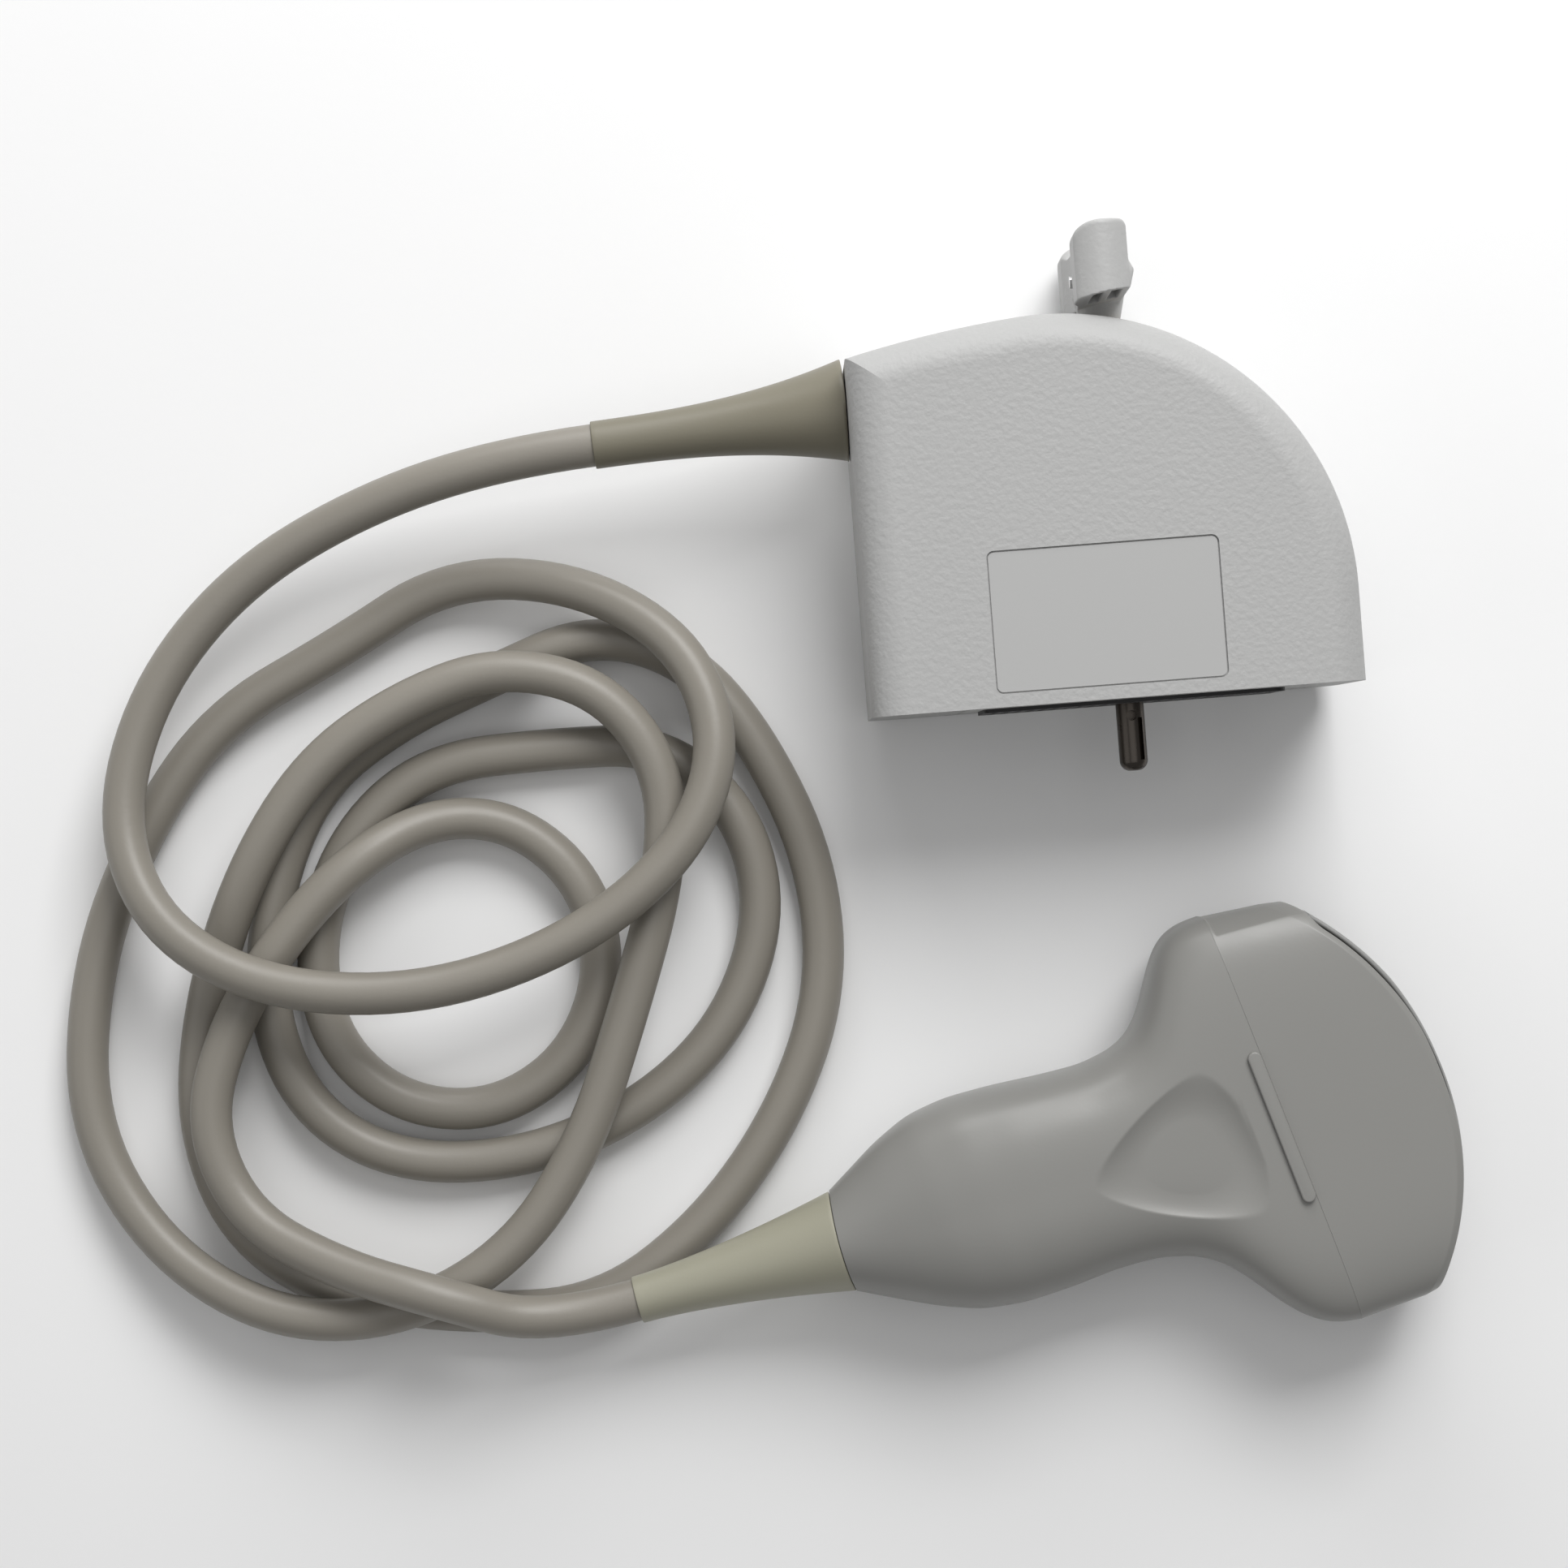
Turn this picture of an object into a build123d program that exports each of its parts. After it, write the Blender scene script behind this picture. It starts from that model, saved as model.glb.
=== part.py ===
from build123d import *
import math
import os

# Curved-array ultrasound transducer probe: a head, a cable in loose loops and a lever-lock connector.
# Millimetres. +Z is up from the bench, +Y runs along the connector's lock shaft towards its lever.
# The origin is on the bench, under the lock shaft, half way along the connector housing.

cut_over = 1.0            # how far a cutting tool runs past the face that it opens

# Connector housing: two moulded shells that part at mid thickness
housing_thick = 40.0
housing_depth = 62.0      # mating plane to the top of the round back
housing_left = 42.4       # lock shaft to the flat cable side
side_corner_drop = 4.7    # the flat cable side ends this far short of the back
back_radius = 47.0        # round back
back_centre_left = 10.6   # its centre, to the left of the lock shaft
crown_angle = 95.0        # where the round back gives way to the shoulder
rim_radius = 6.0          # soft edge round the outer faces
mouth_edge_radius = 0.6   # crisp edge at the mating plane
housing_wall = 2.6
half_thick = housing_thick / 2
side_depth = housing_depth - side_corner_drop
back_centre_depth = housing_depth - back_radius

# Mouth of the connector, centred on the lock shaft
mouth_width = 55.0
mouth_height = 28.0
mouth_clear = 0.15
flange_overlap = 1.6      # how far the frame's flange reaches behind the housing wall
flange_thick = 2.0
window_rim = 3.0          # metal left round the insert
insert_clear = 0.1
insert_proud = 0.6        # the insert stands out of the mating plane
insert_depth = 12.0       # mating plane to the insert's back
shoulder_overlap = 1.6
shoulder_thick = 2.4
frame_corner = 2.0

# Contacts: two fields of blades, one each side of the lock shaft
contact_columns = 10
contact_rows = 4
column_pitch = 2.0
row_pitch = 4.4
field_start = 4.4         # lock shaft to the first column
slot_width = 1.0
slot_height = 2.4
slot_depth = 4.0
blade_width = 0.5
blade_height = 1.5
blade_sink = 0.5          # the blade's tip lies this far inside its slot

# Connector board behind the insert
board_thick = 1.6
board_margin = 2.5        # the board's edge stands out from the insert by this
board_hole_clear = 1.2

# Lock shaft, its bush, clip and pin
shaft_radius = 2.5
pin_radius = 2.3          # the free end in front of the insert
pin_reach = 11.6          # mating plane to the tip of the free end
pin_tip_radius = 1.7
groove_width = 0.9
groove_depth = 0.8
groove_angle = 36.0       # from straight up towards +X
groove_start = 3.0        # mating plane to the groove's inner end
groove_tip_gap = 1.7      # the groove stops this far short of the tip
cross_hole_radius = 0.85
cross_hole_back = 2.6     # mating plane to the cross hole
cross_hole_depth = 3.2    # the hole is blind
shaft_fit = 0.05          # running clearance in the bush
shaft_pass = 0.5          # free passage through insert and board
shaft_into_lever = 8.0
bush_radius = 4.2
bush_length = 8.0
bush_sink = 1.0           # the bush's outer face lies this far inside the back
bush_face_depth = housing_depth - bush_sink
bush_seat_wall = 2.2
clip_radius = 4.6
clip_thick = 0.8
clip_gap = 0.3
clip_groove = 0.5         # how deep the clip's groove is

# Turn lever on the back end of the lock shaft
lever_gap = 3.0           # housing's back to the grip's underside
lever_front = housing_depth + lever_gap
lever_height = 11.0
lever_lean = 1.3          # the underside is this much lower at the left face
lever_left = 4.9          # lock shaft to the grip's left face
lever_right = 3.7         # lock shaft to the grip's right face
lever_flare = 0.8         # the right face flares this far at its foot
lever_half_length = 19.4
lever_crown_width = 4.5   # the left top edge is a quarter of an ellipse
lever_crown_height = 2.6
lever_corner_radius = 1.3
lever_flare_radius = 0.6
lever_end_radius = 0.7
lever_waist = 1.2         # the left face is hollowed this much between its ends
lever_waist_half = 10.0
lever_pocket_depth = 5.0
lever_rib = 1.3
lever_wall = 1.4
hub_radius = 3.2
hub_root_radius = 4.4     # the hub widens to this where it meets the grip
hub_gap = 0.4             # hub to bush
hub_block = 6.0           # half length of the solid middle of the grip
lever_pin_radius = 1.0
lever_pin_inset = 0.4
lever_pin_up = 3.6        # grip's underside to the cross pin

# Label recess, left bare
label_left = 22.7
label_right = 14.1
label_front = 2.1         # mating plane to the recess
label_height = 22.6
label_corner = 1.2
label_recess = 0.5
label_thick = 0.3
label_clear = 0.25

# Housing screws, in bosses that meet at the parting plane
screw_radius = 1.4
screw_head_radius = 2.6
screw_head_height = 1.6
screw_recess = 9.0        # bench face to the seat of the screw head
screw_clear = 0.15
screw_bite = 9.0          # how far the screw reaches into the upper boss
boss_radius = 3.4
screw_from_board = 1.6    # the right boss stands this far behind the connector board
screw_places = [
    (-37.0, 8.2),
    (29.2, insert_depth + board_thick + boss_radius + screw_from_board),
    (-12.0, housing_depth - 8.4),
    (15.4, housing_depth - 16.8),
]

# Cable and its strain reliefs
cable_diameter = 7.0
cable_radius = cable_diameter / 2
boot_tip_radius = 3.9
boot_clear = 0.1          # cable in the bore of a strain relief
boot_gap = 0.25           # dark gap line between a strain relief and its housing

# Strain relief at the connector
side_boot_length = 41.7
side_boot_radius = 8.35
side_boot_drop = 11.4     # its axis lies this far short of the housing's back
side_boot_depth = housing_depth - side_boot_drop
side_flare_shares = (1, 0.56, 0.265, 0.092, 0.015, 0)
side_boot_turn = 3.45     # the axis leans this much from the wall's normal
side_neck_radius = 4.9
side_neck_clear = 0.1
side_flange_radius = 7.5
side_flange_thick = 1.8
side_flange_clear = 0.15

# Cable saddle inside the connector
cable_inside = 20.0       # length of cable inside the housing wall
saddle_width = 5.0
saddle_thick = 1.2
saddle_foot_end = 9.0     # cable axis to the end of the foot
saddle_from_wall = 15.0   # housing wall to the middle of the saddle
post_margin = 1.0
saddle_screw_radius = 1.0
saddle_screw_head = 1.8
saddle_screw_length = 6.0
saddle_screw_side = (cable_radius + saddle_thick + saddle_foot_end) / 2

# Probe head: local X runs along the head towards the lens, Y across it, Z up; the seam is at X = 0
head_x = 19.4
head_y = -99.95
head_turn = 17.2
handle_length = 74.2      # seam to the strain relief
seam_half_width = 35.25
grip_half_thick = 13.5
head_drift = 5.885        # the grip's middle line ends this far to the side
head_wall = 2.4
nose_wall = 2.1
seam_gap = 0.2
lip_length = 3.0
lip_thick = 1.0
lip_clear = 0.4
lip_root = 1.0            # how deep the lip's root reaches into the nose wall
section_points = 20
station_shares = (0, 0.04, 0.081, 0.115, 0.148, 0.189, 0.229, 0.283, 0.364, 0.458, 0.566, 0.674, 0.768,
                  0.856, 0.93, 1)
width_shares = (1, 0.996, 0.969, 0.919, 0.833, 0.695, 0.585, 0.517, 0.479, 0.481, 0.501, 0.508, 0.482,
                0.409, 0.323, 0.243)
thick_shares = (0.889, 0.891, 0.893, 0.896, 0.9, 0.905, 0.911, 0.922, 0.944, 0.97, 0.996, 0.993, 0.941,
                0.837, 0.726, 0.633)
drift_shares = (-0.226, -0.17, -0.102, -0.048, -0.042, 0, 0.053, 0.131, 0.26, 0.396, 0.505, 0.619, 0.714,
                0.79, 0.884, 1)
square_powers = (5, 4.8, 4.5, 4.1, 3.75, 3.4, 3.1, 2.8, 2.6, 2.5, 2.4, 2.4, 2.3, 2.2, 2.1, 2)

# Nose and acoustic stack: arcs about one vertical axis behind the lens
lens_radius = 49.3
lens_centre_back = 21.1   # seam to that axis
lens_side = 3.8           # the axis lies this far to the lower side
nose_rim_radius = 48.0    # front rim of the nose shell
nose_front_side = 4.1     # the nose's middle line ends this far to the lower side
nose_front_width_share = 0.93
nose_front_thick_share = 0.93
lens_gap = 0.3            # dark line between rim and lens
lens_crown = 0.6          # the lens bulges this much across its thickness
lens_overlap = 0.9        # the lens covers the rim by this much
stack_half_angle = 38.0
lens_half_angle = 41.4
stack_clear = 0.1
lens_thick = 1.6          # lens in front of the matching layer
stack_half_height = 7.0
matching_thick = 0.8
element_thick = 0.7
element_count = 48
kerf_share = 0.2          # share of the pitch that is saw cut
backing_thick = 11.0
carrier_thick = 3.0
rail_half_width = 7.0
rail_thick = 3.0
rail_short = 5.3          # the rail ends this far short of the board's rear edge
flex_thick = 0.3
flex_half_width = 9.0
flex_tail = 14.0          # the tail's end lies this far behind the seam
head_board_thick = 1.6
head_board_half_width = 9.0
board_to_rear = 26.2      # board's rear edge to the handle's rear end
head_board_end = handle_length - board_to_rear

# Raised orientation ridge and thumb dimple on the upper half of the handle
ridge_length = 26.0
ridge_width = 2.3
ridge_rise = 0.9
ridge_side = 1.6          # its middle lies this far to the lower side
dimple_corners = [(-33.5, -0.3), (-7.9, -14.3), (-9.8, 12.4)]    # where its three curved sides would meet
dimple_bulges = [(-19.3, -10.1), (-4.7, -1.5), (-22.3, 9.3)]     # middle of each side, in the same order
dimple_radii = [5.0, 1.8, 4.0]
dimple_middle = (-16.5, -1.0)
dimple_reach = 16.0       # the dish would meet the flat face at this radius
dimple_depth = 1.7

# Strain relief at the head
head_boot_length = 35.2
head_boot_radius = 8.4
head_flare_shares = (1, 0.7, 0.49, 0.245, 0.045, 0)
head_boot_turn = 5.5      # its axis leans from the head's axis
head_neck_radius = 4.9
head_neck_length = 5.0
head_collar_radius = 5.4
head_collar_thick = 1.5
ferrule_thick = 0.9
ferrule_length = 5.0
rib_thick = 2.0
cable_in_head = 15.0
loom_radius = 1.9
loom_bend = 5.0
loom_lead = 6.0           # straight lead out of the cable's end
head_loom_lead = 4.0
head_loom_rise = 6.5

# Route of the free cable, from the connector's strain relief to the head's
cable_lead = 15.5         # straight lead out of the connector's strain relief
head_lead = 16.0          # and into the head's
cable_route = [
    (-123.0, 10.6, 16.5), (-145.0, 0, 12.5), (-161, -17, 11),
    (-168, -38, 12.5), (-162, -56, 17), (-144.5, -67.5, 19), (-119, -70.5, 19), (-94, -64, 19),
    (-75, -51, 19), (-66.5, -34, 17), (-71.5, -16, 13), (-89, -4, 8), (-111, -1.5, 4.5),
    (-130, -12, 3.7), (-151, -22, 3.7), (-165, -39.5, 3.7), (-175.5, -62, 3.7), (-178.5, -88, 3.7),
    (-168, -109.5, 5.5), (-149, -122.5, 10.5), (-128, -124, 11), (-108, -115, 11), (-94.5, -97.5, 11.3),
    (-85, -74, 11.4), (-78, -54, 11.4), (-76.5, -36.5, 11.4), (-86, -22, 11.4), (-103, -17, 11.4),
    (-120, -22, 11.4), (-135.5, -31.5, 11.4), (-148, -49, 10.5), (-157, -70, 4.5), (-160, -90.5, 3.7),
    (-154, -109, 3.7), (-138, -120.5, 3.7), (-116.5, -125, 3.7), (-94.5, -125.5, 3.7), (-76, -113.5, 3.7),
    (-61.5, -96, 3.7), (-52.5, -75.5, 3.7), (-52.8, -53, 3.7), (-61.8, -31, 3.7), (-72.5, -17.5, 3.7),
    (-88, -12.5, 3.7), (-104.5, -18.5, 3.7), (-121, -24.7, 3.7), (-135.4, -34.2, 3.7), (-144, -51, 3.7),
    (-147, -71, 3.7), (-141.5, -88.5, 3.7), (-127, -98.8, 3.7), (-106, -100, 3.7), (-85, -93, 3.7),
    (-69.3, -80, 3.7), (-61.5, -61.5, 3.7), (-64.8, -44, 3.7), (-77.5, -32, 3.7), (-96, -31.5, 3.7),
    (-116.2, -32.3, 3.7), (-130, -42.5, 3.7), (-137.8, -59, 3.7), (-137, -76.5, 3.7), (-126.5, -88.6, 3.7),
    (-110.8, -91.7, 3.7), (-96.5, -84.4, 3.7), (-89.2, -70.1, 3.7), (-91.4, -54.3, 3.7), (-102.4, -43.2, 3.7),
    (-116.4, -41.2, 5.5), (-130, -48, 11), (-142, -59.5, 11.3), (-152, -73.5, 11.3), (-157.5, -89.5, 11.3),
    (-151.5, -105.5, 11.5), (-136, -114.5, 15.8), (-119.5, -119.8, 20),
]
arc_share = 0.45          # share of the shorter run that a corner's arc takes at each end

upright_ring = Plane.XZ   # circles on this plane run along Y
connector_place = Pos(0, -housing_depth / 2, half_thick)
head_place = Pos(head_x, head_y, grip_half_thick) * Rot(0, 0, head_turn)


def box_between(low, high):
    """Box from its lowest to its highest corner."""
    size = [high[i] - low[i] for i in range(3)]
    middle = [(high[i] + low[i]) / 2 for i in range(3)]
    return Pos(*middle) * Box(*size)


def rod_along_y(radius, start, end, x=0, z=0):
    """Round rod along Y between two depths."""
    return Pos(x, (start + end) / 2, z) * Rot(90, 0, 0) * Cylinder(radius, end - start)


def rod_along_x(radius, start, end, y=0, z=0):
    """Round rod along X between two places."""
    return Pos((start + end) / 2, y, z) * Rot(0, 90, 0) * Cylinder(radius, end - start)


# Connector parts lie in a local frame: mating plane at Y = 0, parting plane at Z = 0
def housing_outline():
    """D shape: straight mating side, flat cable side, shoulder and round back."""
    centre = (-back_centre_left, back_centre_depth)
    side_corner = (-housing_left, side_depth)
    right_end = (back_radius - back_centre_left, back_centre_depth)
    base = Line((-housing_left, 0), (right_end[0], 0))
    right = Line((right_end[0], 0), right_end)
    back = CenterArc(centre, back_radius, 0, crown_angle)
    shoulder = TangentArc(back @ 1, side_corner, tangent=back % 1)
    side = Line(side_corner, (-housing_left, 0))
    return make_face(base + right + back + shoulder + side)


def side_axis(depth):
    """Places local +X along the connector's cable, outwards from a depth inside the cable side."""
    return Pos(-housing_left, side_boot_depth, 0) * Rot(0, 0, 180 + side_boot_turn) * Pos(-depth, 0, 0)


def housing_shell():
    """Half shell with its parting face at Z = 0 and its outer face at +Z."""
    outline = housing_outline()
    block = extrude(outline, amount=half_thick)
    top_edges = block.edges().group_by(Axis.Z)[-1]
    soft_edges = top_edges.filter_by(lambda e: e.center().Y > mouth_edge_radius)
    block = fillet(soft_edges, rim_radius)
    inner = offset(outline, amount=-housing_wall)
    block -= extrude(inner, amount=half_thick - housing_wall)
    seat_radius = bush_radius + bush_seat_wall
    seat = rod_along_y(seat_radius, bush_face_depth - bush_length, bush_face_depth - housing_wall)
    block += seat & extrude(outline, amount=half_thick)
    for x, y in screw_places:
        block += Pos(x, y, (half_thick - housing_wall) / 2) * Cylinder(boss_radius, half_thick - housing_wall)
    mouth = Box(mouth_width, 2 * (housing_wall + cut_over), mouth_height)
    block -= mouth
    block -= rod_along_y(bush_radius, bush_face_depth - bush_length - cut_over, housing_depth + cut_over)
    neck = rod_along_x(side_neck_radius + side_neck_clear, -housing_left - cut_over,
                       -housing_left + housing_wall + cut_over, y=side_boot_depth)
    return block - neck


def housing_top():
    """Upper shell with the bare label recess and blind screw holes."""
    shell = housing_shell()
    recess = RectangleRounded(label_left + label_right, label_height, label_corner)
    middle = ((label_right - label_left) / 2, label_front + label_height / 2)
    shell -= Pos(*middle, half_thick - label_recess) * extrude(recess, amount=label_recess + cut_over)
    for x, y in screw_places:
        shell -= Pos(x, y, screw_bite / 2) * Cylinder(screw_radius, screw_bite)
    return shell


def saddle_post():
    """Post under the cable with a half-round seat, in the local frame of the cable side."""
    low = half_thick - housing_wall
    short_side = cable_radius + saddle_thick + post_margin
    end = saddle_width / 2 + post_margin
    block = box_between((-end, -short_side, -low), (end, saddle_foot_end, 0))
    block -= rod_along_x(cable_radius, -cable_inside, cable_inside)
    hole = Pos(0, saddle_screw_side, -saddle_screw_length / 2)
    return block - hole * Cylinder(saddle_screw_radius, saddle_screw_length)


def housing_bottom():
    """Lower shell: counterbored screw bosses and the post for the cable saddle."""
    shell = mirror(housing_shell(), about=Plane.XY)
    for x, y in screw_places:
        shell -= Pos(x, y, -half_thick / 2) * Cylinder(screw_radius + screw_clear, half_thick)
        shell -= Pos(x, y, -half_thick + screw_recess / 2) * Cylinder(screw_head_radius + screw_clear, screw_recess)
    return shell + side_axis(saddle_from_wall) * saddle_post()


def housing_screws():
    """Pan-head screws up through the lower bosses into the upper ones."""
    seat = -half_thick + screw_recess
    shank = screw_bite - seat
    drive = Pos(0, 0, seat - screw_head_height) * Box(screw_head_radius, screw_head_height / 2, screw_head_height)
    screw = Pos(0, 0, seat - screw_head_height / 2) * Cylinder(screw_head_radius, screw_head_height)
    screw += Pos(0, 0, seat + shank / 2) * Cylinder(screw_radius, shank)
    screw -= drive
    return Compound(children=[Pos(x, y, 0) * screw for x, y in screw_places])


def label_plate():
    """Bare plate that lies in the label recess."""
    width = label_left + label_right - 2 * label_clear
    plate = RectangleRounded(width, label_height - 2 * label_clear, label_corner - label_clear)
    middle = ((label_right - label_left) / 2, label_front + label_height / 2)
    return Pos(*middle, half_thick - label_recess) * extrude(plate, amount=label_thick)


def mouth_plate(width, height, start, end):
    """Plate with rounded corners, across the mouth between two depths."""
    face = upright_ring.offset(-start) * RectangleRounded(width, height, frame_corner)
    return extrude(face, amount=-(end - start))


def connector_frame():
    """Metal frame in the mouth; its flange lies behind the housing wall."""
    width = mouth_width - 2 * mouth_clear
    height = mouth_height - 2 * mouth_clear
    frame = mouth_plate(width, height, 0, housing_wall + flange_thick)
    flange_end = housing_wall + flange_thick
    frame += mouth_plate(mouth_width + 2 * flange_overlap, mouth_height + 2 * flange_overlap,
                         housing_wall, flange_end)
    window = mouth_plate(width - 2 * window_rim, height - 2 * window_rim, -cut_over, flange_end + cut_over)
    return frame - window


def insert_size():
    """Width and height of the contact insert in the frame's window."""
    gap = 2 * (mouth_clear + window_rim + insert_clear)
    return mouth_width - gap, mouth_height - gap


def contact_places():
    """Places (x, z) of the contacts: two fields, one each side of the lock shaft."""
    places = []
    for column in range(contact_columns):
        for row in range(contact_rows):
            x = field_start + column * column_pitch
            z = (row - (contact_rows - 1) / 2) * row_pitch
            places += [(x, z), (-x, z)]
    return places


def contact_insert():
    """Black insert with a slot for each contact, a shoulder behind the frame and a passage for the shaft."""
    width, height = insert_size()
    shoulder_start = housing_wall + flange_thick
    body = mouth_plate(width, height, -insert_proud, insert_depth)
    body += mouth_plate(width + 2 * shoulder_overlap, height + 2 * shoulder_overlap,
                        shoulder_start, shoulder_start + shoulder_thick)
    body -= rod_along_y(shaft_radius + shaft_pass, -insert_proud - cut_over, insert_depth + cut_over)
    slots = [
        Pos(x, slot_depth / 2 - insert_proud, z) * Box(slot_width, slot_depth, slot_height)
        for x, z in contact_places()
    ]
    return body - slots


def contacts():
    """Gold blades that stand on the floors of their slots."""
    length = slot_depth - blade_sink
    middle = slot_depth - insert_proud - length / 2
    blade = Box(blade_width, length, blade_height)
    return Compound(children=[Pos(x, middle, z) * blade for x, z in contact_places()])


def connector_board():
    """Circuit board against the back of the insert."""
    width, height = insert_size()
    board = mouth_plate(width + 2 * board_margin, height + 2 * board_margin,
                        insert_depth, insert_depth + board_thick)
    return board - rod_along_y(shaft_radius + board_hole_clear, insert_depth - cut_over,
                               insert_depth + board_thick + cut_over)


def clip_start():
    """Depth of the clip's front face."""
    return bush_face_depth - bush_length - clip_gap - clip_thick


def lock_shaft():
    """Lock shaft: rounded free end with a groove and a cross hole, clip groove, pinned end in the lever."""
    end = lever_front + shaft_into_lever
    free_end = rod_along_y(pin_radius, -pin_reach, -insert_proud)
    free_end = fillet(free_end.edges().group_by(Axis.Y)[0], pin_tip_radius)
    shaft = free_end + rod_along_y(shaft_radius, -insert_proud, end)
    groove_length = pin_reach - groove_tip_gap - groove_start
    groove = Pos(0, -groove_start - groove_length / 2, pin_radius) * Box(groove_width, groove_length,
                                                                         2 * groove_depth)
    shaft -= Rot(0, groove_angle, 0) * groove
    shaft -= Pos(0, -cross_hole_back, pin_radius) * Cylinder(cross_hole_radius, 2 * cross_hole_depth)
    ring = rod_along_y(shaft_radius + cut_over, clip_start(), clip_start() + clip_thick)
    shaft -= ring - rod_along_y(shaft_radius - clip_groove, clip_start(), clip_start() + clip_thick)
    return shaft - lever_pin_rod()


def shaft_bush():
    """Bearing bush of the lock shaft, held between the two shells."""
    bush = rod_along_y(bush_radius, bush_face_depth - bush_length, bush_face_depth)
    return bush - rod_along_y(shaft_radius + shaft_fit, bush_face_depth - bush_length - cut_over,
                              bush_face_depth + cut_over)


def shaft_clip():
    """Retaining clip in the shaft's groove, open on one side."""
    clip = rod_along_y(clip_radius, clip_start(), clip_start() + clip_thick)
    clip -= rod_along_y(shaft_radius - clip_groove, clip_start() - cut_over, clip_start() + clip_thick + cut_over)
    opening = 2 * (shaft_radius - clip_groove) * math.cos(math.radians(groove_angle))
    mouth = Pos(0, clip_start(), -clip_radius) * Box(opening, 2 * (clip_thick + cut_over), 2 * clip_radius)
    return clip - mouth


def lever_pin_rod():
    """Cross pin through the lever and the shaft."""
    depth = lever_front + lever_pin_up
    return rod_along_x(lever_pin_radius, -lever_left + lever_pin_inset, lever_right - lever_pin_inset, y=depth)


def lever_section():
    """Grip section: elliptical crown on the left, flare at the foot of the right face, leaning underside."""
    top = lever_front + lever_height
    foot = lever_front + lever_height / 3
    crown_x = -lever_left + lever_crown_width
    crown = EllipticalCenterArc((crown_x, top - lever_crown_height), lever_crown_width, lever_crown_height,
                                start_angle=90, arc_size=90)
    outline = Polyline(
        (-lever_left, top - lever_crown_height), (-lever_left, lever_front - lever_lean),
        (lever_right, lever_front), (lever_right + lever_flare, foot - lever_flare),
        (lever_right, foot + lever_flare), (lever_right, top), (crown_x, top),
    )
    section = make_face(crown + outline)
    right = section.vertices().filter_by(lambda v: v.X > lever_right / 2)
    section = fillet(right.sort_by(Axis.Y)[-1], lever_corner_radius)
    bump = section.vertices().filter_by(lambda v: v.X > lever_right - lever_flare and v.Y < foot + 2 * lever_flare)
    return fillet(bump.filter_by(lambda v: v.Y > lever_front + lever_flare / 2), lever_flare_radius)


def lever_waist_cut():
    """Shallow cylinder that hollows the grip's left face between its two ends."""
    radius = (lever_waist_half ** 2 + lever_waist ** 2) / (2 * lever_waist)
    centre = -lever_left + lever_waist - radius
    low = lever_front - lever_lean - cut_over
    return rod_along_y(radius, low, lever_front + lever_height + cut_over, x=centre)


def lever():
    """Moulded turn lever: grip along Z at rest, hollow under both arms, hub on the shaft."""
    grip = Pos(0, 0, -lever_half_length) * extrude(lever_section(), amount=2 * lever_half_length)
    ends = grip.edges().group_by(Axis.Z)
    top_ends = ends[0].filter_by(lambda e: e.center().Y > lever_front + lever_flare)
    top_ends += ends[-1].filter_by(lambda e: e.center().Y > lever_front + lever_flare)
    grip = fillet(top_ends, lever_end_radius)
    grip -= lever_waist_cut()
    arm = lever_half_length - hub_block - lever_wall
    inner_left = -lever_left + lever_waist + lever_wall
    pocket_width = (lever_right - lever_wall - lever_rib - inner_left) / 2
    for end in (-1, 1):
        for start in (inner_left, inner_left + pocket_width + lever_rib):
            middle = (start + pocket_width / 2, lever_front, end * (hub_block + arm / 2))
            grip -= Pos(*middle) * Box(pocket_width, 2 * lever_pocket_depth, arm)
    hub_start = bush_face_depth + hub_gap
    hub_end = lever_front + lever_wall
    hub = Cone(hub_root_radius, hub_radius, hub_end - hub_start)
    body = grip + Pos(0, (hub_start + hub_end) / 2, 0) * Rot(90, 0, 0) * hub
    body -= rod_along_y(shaft_radius, hub_start - cut_over, lever_front + shaft_into_lever)
    return body - lever_pin_rod()


def flared_boot(length, root_radius, root_start, flare_shares):
    """Strain relief along +X: a flare from a wide root to a narrow tip, with a flat start inside."""
    points = []
    for step, share in enumerate(flare_shares):
        place = length * step / (len(flare_shares) - 1)
        points.append((place, boot_tip_radius + (root_radius - boot_tip_radius) * share))
    outline = Spline(points)
    lead = Line((-root_start, root_radius), points[0])
    tip = Line(points[-1], (length, 0))
    axis = Line((length, 0), (-root_start, 0))
    back = Line((-root_start, 0), (-root_start, root_radius))
    return revolve(make_face(outline + lead + tip + axis + back), axis=Axis.X)


def connector_boot():
    """Olive strain relief: its body stops at the housing wall, its neck and flange hold it in the shells."""
    lean = side_boot_radius * math.tan(math.radians(side_boot_turn))
    body = side_axis(0) * flared_boot(side_boot_length, side_boot_radius, 2 * lean, side_flare_shares)
    keep = box_between((-housing_left - boot_gap, 0, -half_thick), (0, housing_depth, half_thick))
    body -= keep
    neck_end = -housing_left + housing_wall
    body += rod_along_x(side_neck_radius, -housing_left - boot_gap, neck_end + side_flange_thick,
                        y=side_boot_depth)
    flange = rod_along_x(side_flange_radius, neck_end, neck_end + side_flange_thick, y=side_boot_depth)
    room = offset(housing_outline(), amount=-housing_wall - side_flange_clear)
    body += flange & extrude(room, amount=side_flange_radius, both=True)
    bore = rod_along_x(cable_radius + boot_clear, -cable_inside, side_boot_length + cut_over)
    return body - side_axis(0) * bore


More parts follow.
